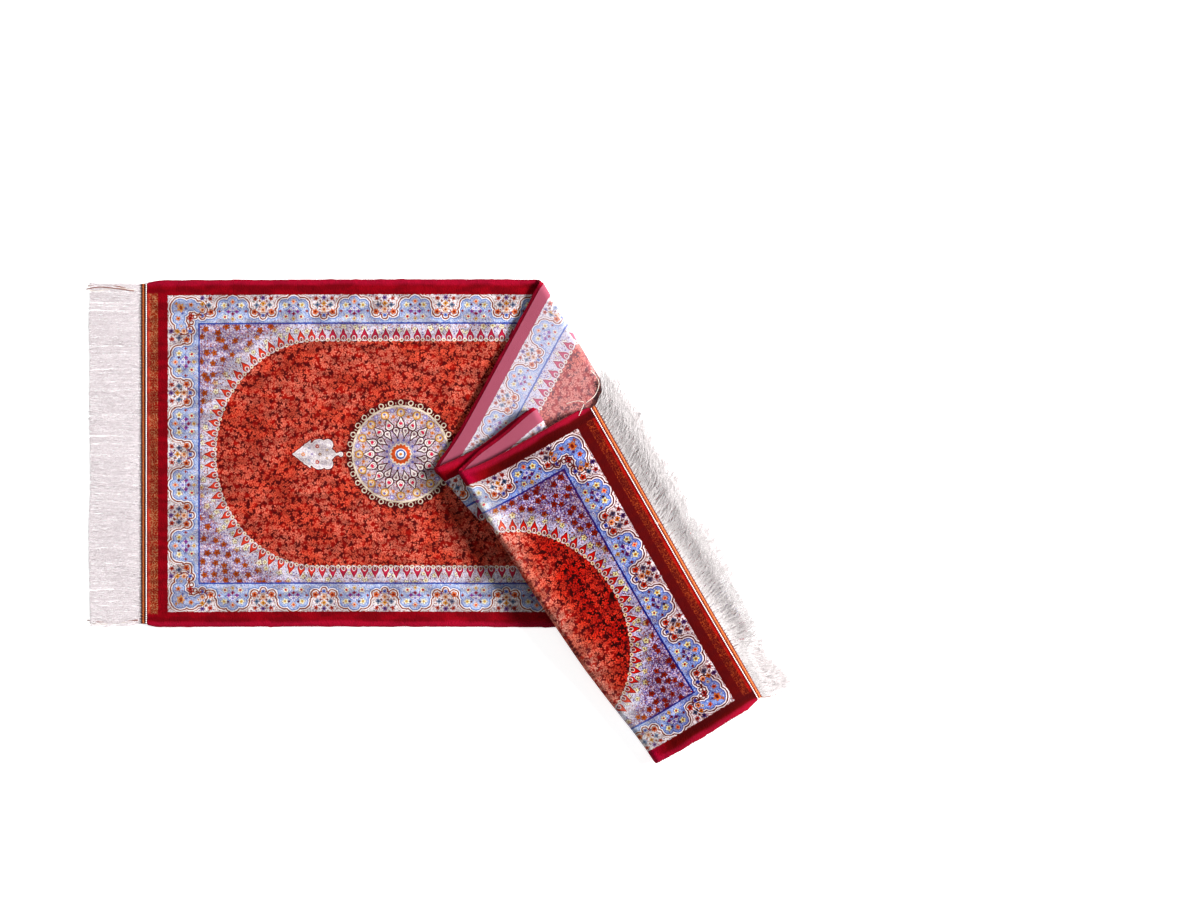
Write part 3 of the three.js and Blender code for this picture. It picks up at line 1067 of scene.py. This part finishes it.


# Where the top layer's pile is painted deeper, as painted shade, and its nose less deep, as a painted
# highlight, past the last fold. wander: of the edge
TOP_PAINTED_SHADE = {"from": 55, "soft": 50, "wander": 30}
NOSE_PAINTED_LIGHT = {"at": 28, "half": 22, "soft": 26, "wander": 24, "share": 0.34}


def pile_face():
    """Silky pile. The top layer is painted deeper, as painted shade, and its nose at the last fold less deep,
    as a painted highlight.

    These tones stand for how the pile leans in this lighting. They aren't the yarn's own. The long edges also
    get a painted highlight.
    """
    material, tree, shader = principled("pile_face", 0.8, 0.07, 0.4, "ff6050")
    set_inputs(shader, {"Specular IOR Level": 0.03})
    colour, place = patterned(tree)
    edge = WIDTH / 2 - abs(place.y - WIDTH / 2)
    from_last_fold = place.x - place.y * FOLDS[-1]["slant"] - FOLDS[-1]["at"]
    uneven = from_last_fold + place.noise(30, 1.0, shift=700) * TOP_PAINTED_SHADE["wander"]
    # Painted shade: mask of the top layer, which is painted deeper.
    deep = outside(uneven, TOP_PAINTED_SHADE["from"], TOP_PAINTED_SHADE["soft"]) * outside(edge, 2, 16)
    uneven = from_last_fold + place.noise(25, 1.0, shift=900) * NOSE_PAINTED_LIGHT["wander"]
    nose_painted_light = band(uneven, NOSE_PAINTED_LIGHT["at"], NOSE_PAINTED_LIGHT["half"], NOSE_PAINTED_LIGHT["soft"])
    colour.multiply(1.0, EXPOSURE, EXPOSURE, EXPOSURE)
    # Painted shade deepens the top layer's colours, and a painted highlight makes its nose less deep.
    colour.power(deep + 1 - nose_painted_light * NOSE_PAINTED_LIGHT["share"])
    colour.multiply(1.0, 1 / EXPOSURE, 1 / EXPOSURE, 1 / EXPOSURE)
    # Painted shade: the top layer's plain band along the long edges is darkened further.
    colour.multiply(deep * inside(edge, 16, 2) * 0.5, 0.5, 0.3, 0.4)
    streaks = Place(place.x * 0.35, place.y).noise(14, 2.0, shift=300)
    colour.paint(outside(streaks, 0.5, 0.2) * 0.42, "3c0004")
    # Painted highlight: lighter crimson along the long edges, where the pile's lip catches the light.
    colour.paint(inside(edge + streaks * 6, 6, 4) * 0.35, "c41440")
    connect(tree, colour, shader.inputs["Base Color"])
    stretched = Place(place.x, place.y * 0.6)
    bump(tree, shader, stretched.noise(1.3, 1.0) * 0.6 + place.noise(9, 1.0) * 0.6, 0.0012)
    return material


def pile_back():
    """The woven back. The pattern shows through it paler, mixed in colours as the eye sees them."""
    material, tree, shader = principled("pile_back", 0.9, 0.1, 0.5)
    colour, place = patterned(tree)
    colour.power(0.4545)
    colour.paint(0.34, (0.8, 0.8, 0.86, 1))
    colour.power(2.2)
    colour.multiply(1.0, 0.86, 0.84, 0.86)
    connect(tree, colour, shader.inputs["Base Color"])
    weave = (place.x * (math.pi / 0.9)).work_out("SINE") * (place.y * (math.pi / 0.9)).work_out("SINE")
    bump(tree, shader, weave * 0.5 + place.noise(1.4) * 0.6, 0.0004)
    return material


def yarn(name, colour_code, dark, pitch, mix_in=0.5, falling=None):
    """Twisted yarn: plies across the strand, and tones that change along it and from strand to strand."""
    material, tree, shader = principled(name, 0.85, 0.2, 0.5)
    x, y, z = coordinates(tree, add_node(tree, "TexCoord", {}).outputs["Object"])
    place = Place(x / MM, y / MM)
    chance = Number(tree, add_node(tree, "NewGeometry", {}).outputs["Random Per Island"])
    colour = Colour(tree, colour_code)
    colour.paint(place.noise(pitch, 1.0) * 0.6, dark)
    colour.paint(chance.work_out("POWER", 3) * mix_in, dark)
    if falling:
        in_fall = band(z / MM, falling["height"], falling["half"], falling["soft"])
        colour.paint(in_fall * falling["share"], falling["tone"])
    connect(tree, colour, shader.inputs["Base Color"])
    plies = ((place.x + place.y) * (2 * math.pi / pitch)).work_out("SINE")
    bump(tree, shader, plies * 0.5 + place.noise(0.5) * 0.5, 0.0003)
    return material


# The braids and their stitches. out: how far past the end of the cloth. A cord has two twisted plies.
CORDS = table(
    "out radius twist level yarn",
    (3.9, 1.0, 5.0, 3.6, "red"),
    (6.3, 1.55, 8.6, 3.9, "orange"),
    (8.7, 0.95, 5.0, 2.9, "red"),
)
STITCH_OUT = 1.8
STITCH_PITCH = 2.9
BACK = -THICK / 2


def end_place(end, out, t, above_back):
    """A place past one end of the cloth, at a height over the level of its back. end is -1 left, 1 right."""
    s = np.where(end > 0, LENGTH + out, -np.asarray(out, float))
    s, t, above_back = np.broadcast_arrays(s, np.asarray(t, float), np.asarray(above_back, float))
    return on_cloth(s, t, above_back + BACK)


def cord_points(end, cord):
    """Both plies of one cord, as tube points and faces."""
    t = np.linspace(0.5, WIDTH - 0.5, int(WIDTH / cord["twist"] * 10))
    plies = []
    for half_turn in (0, math.pi):
        angle = 2 * math.pi * t / cord["twist"] + half_turn
        swing = cord["radius"] * 0.55
        out = cord["out"] + swing * np.cos(angle)
        height = cord["level"] + swing * np.sin(angle) - cord["radius"] * 0.5
        plies.append(end_place(end, out, t, height))
    return tubes(np.array(plies), cord["radius"] * 0.62, 6)


def stitch_beads(end):
    """The dotted line of white stitches between the pile and the braid."""
    t = np.arange(2, WIDTH - 1, STITCH_PITCH)
    reach = np.array([-1.25, -0.9, -0.3, 0.3, 0.9, 1.25])
    thick = np.array([0.25, 0.75, 1.0, 1.0, 0.75, 0.25])
    rows = end_place(end, STITCH_OUT, t[:, None] + reach, 5.7)
    return tubes(rows, thick[None] * np.ones((len(t), 1)), 7)


# The flat woven tape under the cords, in section
TAPE = table(
    "out height",
    (0.5, 0.2),
    (0.5, 5.0),
    (2.6, 4.8),
    (4.6, 2.6),
    (9.2, 2.0),
    (9.45, 1.2),
    (9.3, 0.2),
)


def braid_base(end):
    t = np.linspace(0, WIDTH, 101)
    rings = np.stack([end_place(end, row["out"], t, row["height"]) for row in TAPE], axis=1)
    count, sides = rings.shape[:2]
    number = np.arange(count * sides).reshape(count, sides)
    ends = [number[0, ::-1].tolist(), number[-1].tolist()]
    return rings.reshape(-1, 3), walls_between(number).tolist() + ends


def braid(end, name):
    parts = [braid_base(end)] + [cord_points(end, cord) for cord in CORDS] + [stitch_beads(end)]
    kinds = ["red"] + [cord["yarn"] for cord in CORDS] + ["white"]
    order = ["red", "orange", "white"]
    materials = [BRAID_YARNS[kind] for kind in order]
    slots = np.concatenate([np.full(len(faces), order.index(kind)) for (_, faces), kind in zip(parts, kinds)])
    points, faces = joined(parts)
    return mesh_object(name, points, faces, materials, slots)


BRAID_YARNS = {
    "red": yarn("braid_red", "8c1410", "580a0a", 1.6),
    "orange": yarn("braid_orange", "fa8c48", "d85c20", 2.0),
    "white": yarn("stitch_white", (0.9, 0.86, 0.84, 1), (0.7, 0.62, 0.6, 1), 1.5),
}

# The fringes: bundles of loose strands
BUNDLES = 107
STRANDS = 19
BUNDLE_PITCH = WIDTH / BUNDLES
STRAND = 0.45
LEFT_REACH = 76
# Locks of the right fringe. t: of the root. reach: length. lean: degrees towards the lower long edge
LOCKS = table(
    "t reach lean",
    (0, 60, -50),
    (9, 62, -40),
    (20, 70, -31),
    (38, 62, -27),
    (60, 68, -30),
    (108, 64, -31),
    (170, 70, -29),
    (228, 60, -25),
    (262, 68, -20),
    (330, 64, -11),
    (385, 57, 0),
    (400, 47, 10),
    (440, 47, 22),
    (470, 52, 18),
    (500, 44, 8),
)


def fringe_height(x, y, out):
    """Height of the middle of the right fringe: from the cloth's level down to what it rests on."""
    level = layer_height(top_layer, x, y) - THICK / 2
    on_fold = layer_height(1, x, y) + THICK / 2 + FRINGE_CLEAR
    resting = on_fold * cover(1, x, y, 0, FRINGE_DROP)
    return mix(resting, level, fall(np.maximum(0, out - FRINGE_ROOT) / FRINGE_SETTLE)) + FRINGE_THICK / 2


TRACE_PITCH = 4.0
TRACE_T = np.arange(-60, WIDTH + 61, TRACE_PITCH)
TRACE_STEPS = 95


def trace_fringe():
    """Places 1 mm apart along lines of the right fringe, from the end of the cloth."""
    start = middle(LENGTH, np.clip(TRACE_T, 0, WIDTH))
    ahead = middle(LENGTH + 1, np.clip(TRACE_T, 0, WIDTH)) - start
    way = ahead[:, :2] / np.linalg.norm(ahead[:, :2], axis=1, keepdims=True)
    across = middle(LENGTH, WIDTH) - middle(LENGTH, 0)
    beyond = TRACE_T - np.clip(TRACE_T, 0, WIDTH)
    place = start[:, :2] + beyond[:, None] * across[:2] / np.linalg.norm(across[:2])
    rows = [np.column_stack([place, fringe_height(place[:, 0], place[:, 1], 0)])]
    for n in range(TRACE_STEPS):
        ahead = place + way
        slope = fringe_height(ahead[:, 0], ahead[:, 1], n + 1) - fringe_height(place[:, 0], place[:, 1], n)
        place = place + way / np.hypot(1, slope)[:, None]
        rows.append(np.column_stack([place, fringe_height(place[:, 0], place[:, 1], n + 1)]))
    return np.array(rows)


TRACE = trace_fringe()


def right_place(out, t, height):
    """A place on the right fringe, out from its root, at a height over its middle."""
    row = np.clip(out + FRINGE_ROOT, 0, TRACE_STEPS - 1.001)
    column = np.clip((t - TRACE_T[0]) / TRACE_PITCH, 0, len(TRACE_T) - 1.001)
    i = row.astype(int)
    j = column.astype(int)
    fi = (row - i)[..., None]
    fj = (column - j)[..., None]
    place = mix(mix(TRACE[i, j], TRACE[i + 1, j], fi), mix(TRACE[i, j + 1], TRACE[i + 1, j + 1], fi), fj)
    place[..., 2] = np.maximum(place[..., 2] + height, STRAND)
    return place


def left_place(out, t, height):
    place = middle(-FRINGE_ROOT - out, t)
    place[..., 2] = np.maximum(FRINGE_THICK / 2 + height, STRAND)
    return place


def strand_paths(end, steps):
    """Loose strands in bundles that are tight at the root and spread outwards."""
    count = BUNDLES * STRANDS
    bundle = np.repeat(np.arange(BUNDLES), STRANDS)
    root = (bundle + 0.5) * BUNDLE_PITCH + rng.uniform(-1, 1, count) * BUNDLE_PITCH * 0.34
    spread = rng.uniform(-1, 1, count) * BUNDLE_PITCH * 1.0
    share = np.concatenate([[0], np.linspace(0.008, 0.992, steps), [1]])[None]
    if end > 0:
        locks = {key: [lock[key] for lock in LOCKS] for key in LOCKS[0]}
        reach = np.interp(root, locks["t"], locks["reach"]) + rng.normal(0, 2.4, count)
        reach += 4.5 * soft_noise(root, root * 0, 13, 15)
        lean = np.interp(root, locks["t"], locks["lean"]) + rng.normal(0, 5, count)
        lean += 4 * soft_noise(root, root * 0, 16, 14)
        sizes = {"wave": 1.5, "sway": 1.6, "sway_size": 18, "fluff": 2.4}
    else:
        reach = LEFT_REACH + 1.4 * soft_noise(root, root * 0, 60, 11) + rng.normal(0, 0.8, count)
        lean = 1.6 * soft_noise(root, root * 0, 60, 12) + rng.normal(0, 0.9, count)
        sizes = {"wave": 0.9, "sway": 1.5, "sway_size": 40, "fluff": 0.9}
    lean = np.radians(lean)
    out = reach[:, None] * share
    bend = lean[:, None] * np.minimum(1, 0.35 + share)
    outward = out * np.cos(bend)
    phase = rng.uniform(0, 2 * math.pi, (2, count, 1))
    length = rng.uniform(16, 34, (2, count, 1))
    grow = np.minimum(1, out / 14)
    wave = sizes["wave"] * np.sin(2 * math.pi * out / length[0] + phase[0])
    sway = sizes["sway"] * soft_noise(out + 200 * (end > 0), root[:, None], sizes["sway_size"], 13)
    sideways = out * np.sin(bend) + (spread[:, None] + wave + sway) * grow
    rise = 1 + np.sin(2 * math.pi * out / length[1] + phase[1])
    height = rng.uniform(-0.6, 0.9, count)[:, None] + sizes["fluff"] * 0.5 * grow * rise
    place = right_place if end > 0 else left_place
    return place(outward - 0.3, root[:, None] + sideways, height)


def fringe(end, name):
    steps = 13 if end > 0 else 11
    paths = strand_paths(end, steps)
    taper = np.linspace(1, 0.7, steps + 2)[None] * rng.uniform(0.85, 1.15, (len(paths), 1))
    points, faces = tubes(paths, STRAND * taper, 3)
    return mesh_object(name, points, faces, [FRINGE_YARNS[end]])


# Where the right fringe falls it faces the key light and would burn out, so its yarn is painted greyer there.
# The real yarn is the same colour all over.
FALLING = {"height": 15, "half": 9, "soft": 6, "share": 0.85, "tone": (0.34, 0.315, 0.315, 1)}
FRINGE_YARNS = {
    -1: yarn("fringe_left_yarn", (0.9, 0.83, 0.85, 1), (0.6, 0.52, 0.54, 1), 1.2, 0.7),
    1: yarn("fringe_right_yarn", (0.94, 0.88, 0.88, 1), (0.56, 0.5, 0.5, 1), 1.2, 0.9, FALLING),
}

# Short tufts of pile that stand out from the long edges
TUFT_PITCH = 1.15


def edge_tufts():
    s = np.arange(26, LENGTH - 26, TUFT_PITCH)
    rows = []
    for side in (-1, 1):
        for level in (2.0, 0.4):
            here = s + rng.uniform(-0.5, 0.5, len(s))
            lean = rng.uniform(-0.7, 0.7, len(s))
            out = rng.uniform(0.5, 1.3, len(s))
            base = WIDTH / 2 + side * (WIDTH / 2 + 4.0)
            t = base + side * out[:, None] * np.array([0, 0.6, 1])
            along = here[:, None] + lean[:, None] * np.array([0, 0.5, 1])
            height = level + rng.uniform(-0.5, 0.5, len(s))[:, None] * np.array([0, 0.5, 1])
            rows.append(on_cloth(along, t, np.broadcast_to(height, t.shape)))
    points, faces = tubes(np.concatenate(rows), np.array([0.55, 0.4, 0.12])[None], 3)
    return mesh_object("edge_tufts", points, faces, [edge_pile()])


def edge_pile():
    material, tree, shader = principled("edge_pile", 0.8, 0.3, 0.4, "ff9a8a")
    spot = add_node(tree, "TexCoord", {}).outputs["Object"]
    noise = add_node(tree, "TexNoise", {"Scale": 60, "Vector": spot})
    colour = Colour(tree, "a80a28").paint(noise.outputs[0], CRIMSON_LIGHT)
    connect(tree, colour, shader.inputs["Base Color"])
    return material


# Loose threads. Points are pixels of the photograph with heights over the surface in millimetres.
THREADS = table(
    "yarn points",
    ("cream", [(584, 404, 33), (581, 411, 34), (577, 420, 33), (574, 428, 32)]),
    ("cream", [(584, 402, 34), (578, 401, 35), (572, 402, 34), (566, 404, 32)]),
    ("cream", [(590, 370, 22), (596, 376, 22), (599, 384, 24), (595, 395, 29), (586, 403, 33)]),
    ("cream", [(645, 521, 30), (650, 521, 31), (654, 523, 31), (659, 523, 29)]),
    ("brown", [(761, 697, 1), (766, 697, 1), (771, 696, 1), (777, 694, 1)]),
    ("brown", [(86, 289, 2), (100, 287, 3), (112, 288, 3), (121, 289, 3), (134, 291, 2)]),
    ("cream", [(87, 290, 2), (98, 291, 3), (108, 289, 3), (118, 288, 3), (137, 290, 2)]),
    ("brown", [(88, 286, 1), (97, 285, 1), (106, 284.6, 1), (116, 286, 2), (126, 288, 2)]),
    ("brown", [(87, 620, 1), (100, 622, 1), (115, 622, 1), (138, 620, 2)]),
    ("cream", [(86, 623, 1), (101, 624, 1), (118, 623, 1), (138, 622, 2)]),
)


def from_pixel(x, y, height):
    """The plan place under a pixel, for a camera straight above."""
    distance = FRAME_WIDTH * LENS / SENSOR
    nearer = 1 - height / distance
    across = (MIDDLE_PIXEL[0] - CORNER_PIXEL[0] + (x - MIDDLE_PIXEL[0]) * nearer) * PIXEL
    down = (MIDDLE_PIXEL[1] - CORNER_PIXEL[1] + (y - MIDDLE_PIXEL[1]) * nearer) * PIXEL
    return across, -down, height


THREAD_RADII = {"cream": 0.42, "brown": 0.7}


def loose_threads():
    parts = []
    slots = []
    for thread in THREADS:
        corners = np.array([from_pixel(*point) for point in thread["points"]])
        share = np.linspace(0, len(corners) - 1, 28)
        path = np.stack([smooth_line(corners[:, axis], share) for axis in range(3)], axis=-1)
        parts.append(tubes(path[None], THREAD_RADII[thread["yarn"]], 6))
        slots.extend([0 if thread["yarn"] == "cream" else 1] * len(parts[-1][1]))
    points, faces = joined(parts)
    cream = yarn("thread_cream", (0.85, 0.78, 0.7, 1), (0.7, 0.6, 0.5, 1), 1.2)
    brown = yarn("thread_brown", "7c2418", "c07858", 9.0)
    return mesh_object("loose_threads", points, faces, [cream, brown], slots)


def smooth_line(values, share):
    """A smooth line through evenly numbered values."""
    steps = np.arange(len(values))
    slopes = np.gradient(values)
    low = np.clip(share.astype(int), 0, len(values) - 2)
    f = share - steps[low]
    a = values[low]
    b = values[low + 1]
    return (a * (1 + 2 * f) * (1 - f) ** 2 + b * f * f * (3 - 2 * f)
            + slopes[low] * f * (1 - f) ** 2 + slopes[low + 1] * f * f * (f - 1))


cloth = rug_cloth()
tufts = edge_tufts()
left_braid = braid(-1, "braid_left_cords")
right_braid = braid(1, "braid_right_cords")
left_fringe = fringe(-1, "fringe_left_strands")
right_fringe = fringe(1, "fringe_right_strands")
threads = loose_threads()

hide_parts("rug_pile")
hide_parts("braid_left")
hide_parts("braid_right")
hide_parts("fringe_left")
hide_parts("fringe_right")
for piece, slot in (
    (cloth, "pile"),
    (tufts, "pile"),
    (left_braid, "braid"),
    (right_braid, "braid"),
    (left_fringe, "fringe"),
    (right_fringe, "fringe"),
    (threads, "fringe"),
):
    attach(piece, "root")


# The studio
def add_floor():
    mesh = bpy.data.meshes.new("floor")
    mesh.from_pydata([(-8, -8, 0), (8, -8, 0), (8, 8, 0), (-8, 8, 0)], [], [(0, 1, 2, 3)])
    material = bpy.data.materials.new("floor")
    material.use_nodes = True
    shader = material.node_tree.nodes["Principled BSDF"]
    set_inputs(shader, {"Base Color": (0.6, 0.6, 0.6, 1), "Roughness": 1.0, "Specular IOR Level": 0.0})
    set_inputs(shader, {"Emission Color": (1, 1, 1, 1), "Emission Strength": 0.75})
    mesh.materials.append(material)
    floor = bpy.data.objects.new("floor", mesh)
    floor.location.z = -0.0005
    bpy.context.scene.collection.objects.link(floor)


def add_light(name, azimuth, elevation, distance, size, power):
    """A soft square light that looks at the middle of the rug."""
    data = bpy.data.lights.new(name, "AREA")
    data.size = size
    data.energy = power
    light = bpy.data.objects.new(name, data)
    turn = math.radians(azimuth)
    tilt = math.radians(elevation)
    place = np.array([math.cos(turn) * math.cos(tilt), math.sin(turn) * math.cos(tilt), math.sin(tilt)])
    light.location = place * distance
    light.rotation_euler = (math.pi / 2 - tilt, 0, turn + math.pi / 2)
    bpy.context.scene.collection.objects.link(light)


def add_world(strength):
    world = bpy.data.worlds.new("world")
    world.use_nodes = True
    set_inputs(world.node_tree.nodes["Background"], {"Color": (1, 1, 1, 1), "Strength": strength})
    bpy.context.scene.world = world


add_floor()
add_light("key", azimuth=12, elevation=31, distance=6.0, size=1.6, power=1150)
add_light("fill", azimuth=110, elevation=75, distance=6.0, size=3.0, power=60)
add_world(0.26)
bpy.context.scene.view_settings.view_transform = "Standard"
